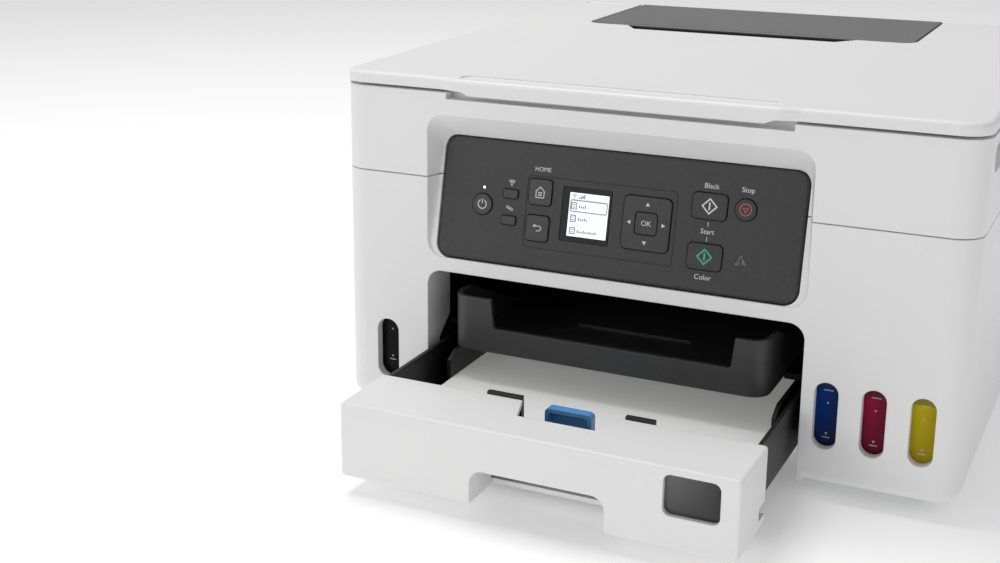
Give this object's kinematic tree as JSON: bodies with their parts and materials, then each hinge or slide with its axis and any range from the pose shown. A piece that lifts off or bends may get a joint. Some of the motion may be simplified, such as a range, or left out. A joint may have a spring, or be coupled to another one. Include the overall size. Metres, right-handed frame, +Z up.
{
  "type": "inkjet printer",
  "caption": "White all-in-one inkjet printer: flatbed scanner lid over a tilted dark control panel, ink windows, dark output tray and a paper cassette pulled out at the front.",
  "frame": {"origin": "on the floor, at the middle of the printer with its cassette pulled out", "axes": "+Z up, the front looks along -Y, +X to the right seen from the front"},
  "size_m": [0.399, 0.5254, 0.234],
  "materials": {
    "white_shell": "satin",
    "grey_cover": "fine matte grain",
    "panel_grey": "matte",
    "black_frame": "matte",
    "key_dark": "satin",
    "blue_lever": "satin",
    "clear_window": "gloss",
    "scanner_glass": "polished",
    "lamp": "gloss",
    "paper": "uncoated paper",
    "foam": "soft white",
    "rubber": "matte",
    "steel": "zinc plated",
    "ink_black": "glossy",
    "ink_cyan": "glossy",
    "ink_magenta": "glossy",
    "ink_yellow": "glossy",
    "circuit_board": "solder mask"
  },
  "bodies": {
    "printer_base": {"lower_housing": "white_shell", "base_plate": "black_frame", "rubber_feet": "rubber", "inner_frame": "black_frame", "control_panel": "panel_grey", "panel_board": "circuit_board", "display_window": "clear_window", "alert_lamp": "lamp", "ink_tank_black": "ink_black", "ink_tank_cyan": "ink_cyan", "ink_tank_magenta": "ink_magenta", "ink_tank_yellow": "ink_yellow", "unit_hinge_pins": "steel", "platen": "black_frame", "carriage_rail": "steel", "drive_belt": "rubber", "feed_motor": "steel", "power_supply": "steel", "power_inlet": "black_frame", "main_board": "circuit_board", "maintenance_cartridge": "black_frame", "rear_access_cover": "grey_cover", "housing_screws": "steel", "rear_tray_chute": "black_frame"},
    "scanner_unit": {"upper_housing": "white_shell", "scanner_glass": "scanner_glass", "scanner_floor": "black_frame", "scan_rail": "steel", "lid_hinges": "white_shell"},
    "scan_head": {"scan_bar": "black_frame"},
    "document_lid": {"scanner_lid": "white_shell", "lid_pad": "foam"},
    "rear_cover": {"rear_tray_cover": "grey_cover"},
    "cassette": {"cassette_front": "white_shell", "cassette_tray": "black_frame", "cassette_window": "clear_window", "paper_stack": "paper"},
    "left_guide": {"left_paper_guide": "black_frame"},
    "right_guide": {"right_paper_guide": "black_frame"},
    "front_guide": {"front_guide_lever": "blue_lever"},
    "delivery_tray": {"output_tray": "grey_cover"},
    "carriage": {"print_carriage": "black_frame"},
    "feed_shaft": {"feed_roller": "rubber", "feed_gear": "black_frame"},
    "drive_pinion": {"motor_pinion": "black_frame"},
    "eject_shaft": {"eject_roller": "rubber"},
    "cap_black": {"ink_cap_black": "ink_black"},
    "cap_cyan": {"ink_cap_cyan": "ink_cyan"},
    "cap_magenta": {"ink_cap_magenta": "ink_magenta"},
    "cap_yellow": {"ink_cap_yellow": "ink_yellow"},
    "power_key": {"power_button": "key_dark"},
    "wireless_key": {"wireless_button": "key_dark"},
    "connect_key": {"connect_button": "key_dark"},
    "home_key": {"home_button": "key_dark"},
    "back_key": {"back_button": "key_dark"},
    "direction_key": {"navigation_pad": "key_dark"},
    "ok_key": {"ok_button": "key_dark"},
    "mono_start_key": {"mono_start_button": "key_dark"},
    "colour_start_key": {"colour_start_button": "key_dark"},
    "stop_key": {"stop_button": "key_dark"}
  },
  "joints": [
    {"name": "cassette_slide", "type": "slide", "parent": "printer_base", "child": "cassette", "axis": [0, -1, 0], "range_m": [-0.1154, 0.1]},
    {"name": "delivery_slide", "type": "slide", "parent": "printer_base", "child": "delivery_tray", "axis": [0, -1, 0], "range_m": [0, 0.09]},
    {"name": "left_guide_slide", "type": "slide", "parent": "cassette", "child": "left_guide", "axis": [-1, 0, 0], "range_m": [0, 0.004]},
    {"name": "right_guide_slide", "type": "slide", "parent": "cassette", "child": "right_guide", "axis": [1, 0, 0], "range_m": [0, 0.004]},
    {"name": "front_guide_slide", "type": "slide", "parent": "cassette", "child": "front_guide", "axis": [0, -1, 0], "range_m": [0, 0.018]},
    {"name": "scanner_unit_hinge", "type": "hinge", "parent": "printer_base", "child": "scanner_unit", "pos_m": [0, 0.2467, 0.215], "axis": [-1, 0, 0], "range_deg": [0, 35]},
    {"name": "lid_hinge", "type": "hinge", "parent": "scanner_unit", "child": "document_lid", "pos_m": [0, 0.2532, 0.2294], "axis": [-1, 0, 0], "range_deg": [0, 80]},
    {"name": "rear_cover_hinge", "type": "hinge", "parent": "printer_base", "child": "rear_cover", "pos_m": [0, 0.2522, 0.2298], "axis": [-1, 0, 0], "range_deg": [0, 100]},
    {"name": "scan_travel", "type": "slide", "parent": "scanner_unit", "child": "scan_head", "axis": [1, 0, 0], "range_m": [0, 0.27]},
    {"name": "carriage_travel", "type": "slide", "parent": "printer_base", "child": "carriage", "axis": [-1, 0, 0], "range_m": [0, 0.26]},
    {"name": "feed_spin", "type": "hinge", "parent": "printer_base", "child": "feed_shaft", "pos_m": [0, 0.1147, 0.086], "axis": [1, 0, 0], "continuous": true},
    {"name": "pinion_spin", "type": "hinge", "parent": "printer_base", "child": "drive_pinion", "pos_m": [0, 0.14485, 0.086], "axis": [1, 0, 0], "continuous": true},
    {"name": "eject_spin", "type": "hinge", "parent": "printer_base", "child": "eject_shaft", "pos_m": [0, 0.0047, 0.0975], "axis": [1, 0, 0], "continuous": true},
    {"name": "cap_hinge_black", "type": "hinge", "parent": "printer_base", "child": "cap_black", "pos_m": [-0.167, -0.0753, 0.1198], "axis": [-1, 0, 0], "range_deg": [0, 100]},
    {"name": "cap_hinge_cyan", "type": "hinge", "parent": "printer_base", "child": "cap_cyan", "pos_m": [0.1227, -0.0753, 0.1198], "axis": [-1, 0, 0], "range_deg": [0, 100]},
    {"name": "cap_hinge_magenta", "type": "hinge", "parent": "printer_base", "child": "cap_magenta", "pos_m": [0.1501, -0.0753, 0.1198], "axis": [-1, 0, 0], "range_deg": [0, 100]},
    {"name": "cap_hinge_yellow", "type": "hinge", "parent": "printer_base", "child": "cap_yellow", "pos_m": [0.1775, -0.0753, 0.1198], "axis": [-1, 0, 0], "range_deg": [0, 100]},
    {"name": "power_press", "type": "slide", "parent": "printer_base", "child": "power_key", "axis": [0, 0.9781, -0.2079], "range_m": [0, 0.0008], "stiffness_N_per_m": 350},
    {"name": "wireless_press", "type": "slide", "parent": "printer_base", "child": "wireless_key", "axis": [0, 0.9781, -0.2079], "range_m": [0, 0.0008], "stiffness_N_per_m": 350},
    {"name": "connect_press", "type": "slide", "parent": "printer_base", "child": "connect_key", "axis": [0, 0.9781, -0.2079], "range_m": [0, 0.0008], "stiffness_N_per_m": 350},
    {"name": "home_press", "type": "slide", "parent": "printer_base", "child": "home_key", "axis": [0, 0.9781, -0.2079], "range_m": [0, 0.0008], "stiffness_N_per_m": 350},
    {"name": "back_press", "type": "slide", "parent": "printer_base", "child": "back_key", "axis": [0, 0.9781, -0.2079], "range_m": [0, 0.0008], "stiffness_N_per_m": 350},
    {"name": "direction_press", "type": "slide", "parent": "printer_base", "child": "direction_key", "axis": [0, 0.9781, -0.2079], "range_m": [0, 0.0008], "stiffness_N_per_m": 350},
    {"name": "ok_press", "type": "slide", "parent": "printer_base", "child": "ok_key", "axis": [0, 0.9781, -0.2079], "range_m": [0, 0.0008], "stiffness_N_per_m": 350},
    {"name": "mono_start_press", "type": "slide", "parent": "printer_base", "child": "mono_start_key", "axis": [0, 0.9781, -0.2079], "range_m": [0, 0.0008], "stiffness_N_per_m": 350},
    {"name": "colour_start_press", "type": "slide", "parent": "printer_base", "child": "colour_start_key", "axis": [0, 0.9781, -0.2079], "range_m": [0, 0.0008], "stiffness_N_per_m": 350},
    {"name": "stop_press", "type": "slide", "parent": "printer_base", "child": "stop_key", "axis": [0, 0.9781, -0.2079], "range_m": [0, 0.0008], "stiffness_N_per_m": 350}
  ],
  "couplings": [
    {"joint": "right_guide_slide", "follows": "left_guide_slide", "ratio": 1},
    {"joint": "pinion_spin", "follows": "feed_spin", "ratio": -2},
    {"joint": "eject_spin", "follows": "feed_spin", "ratio": 1.875}
  ]
}
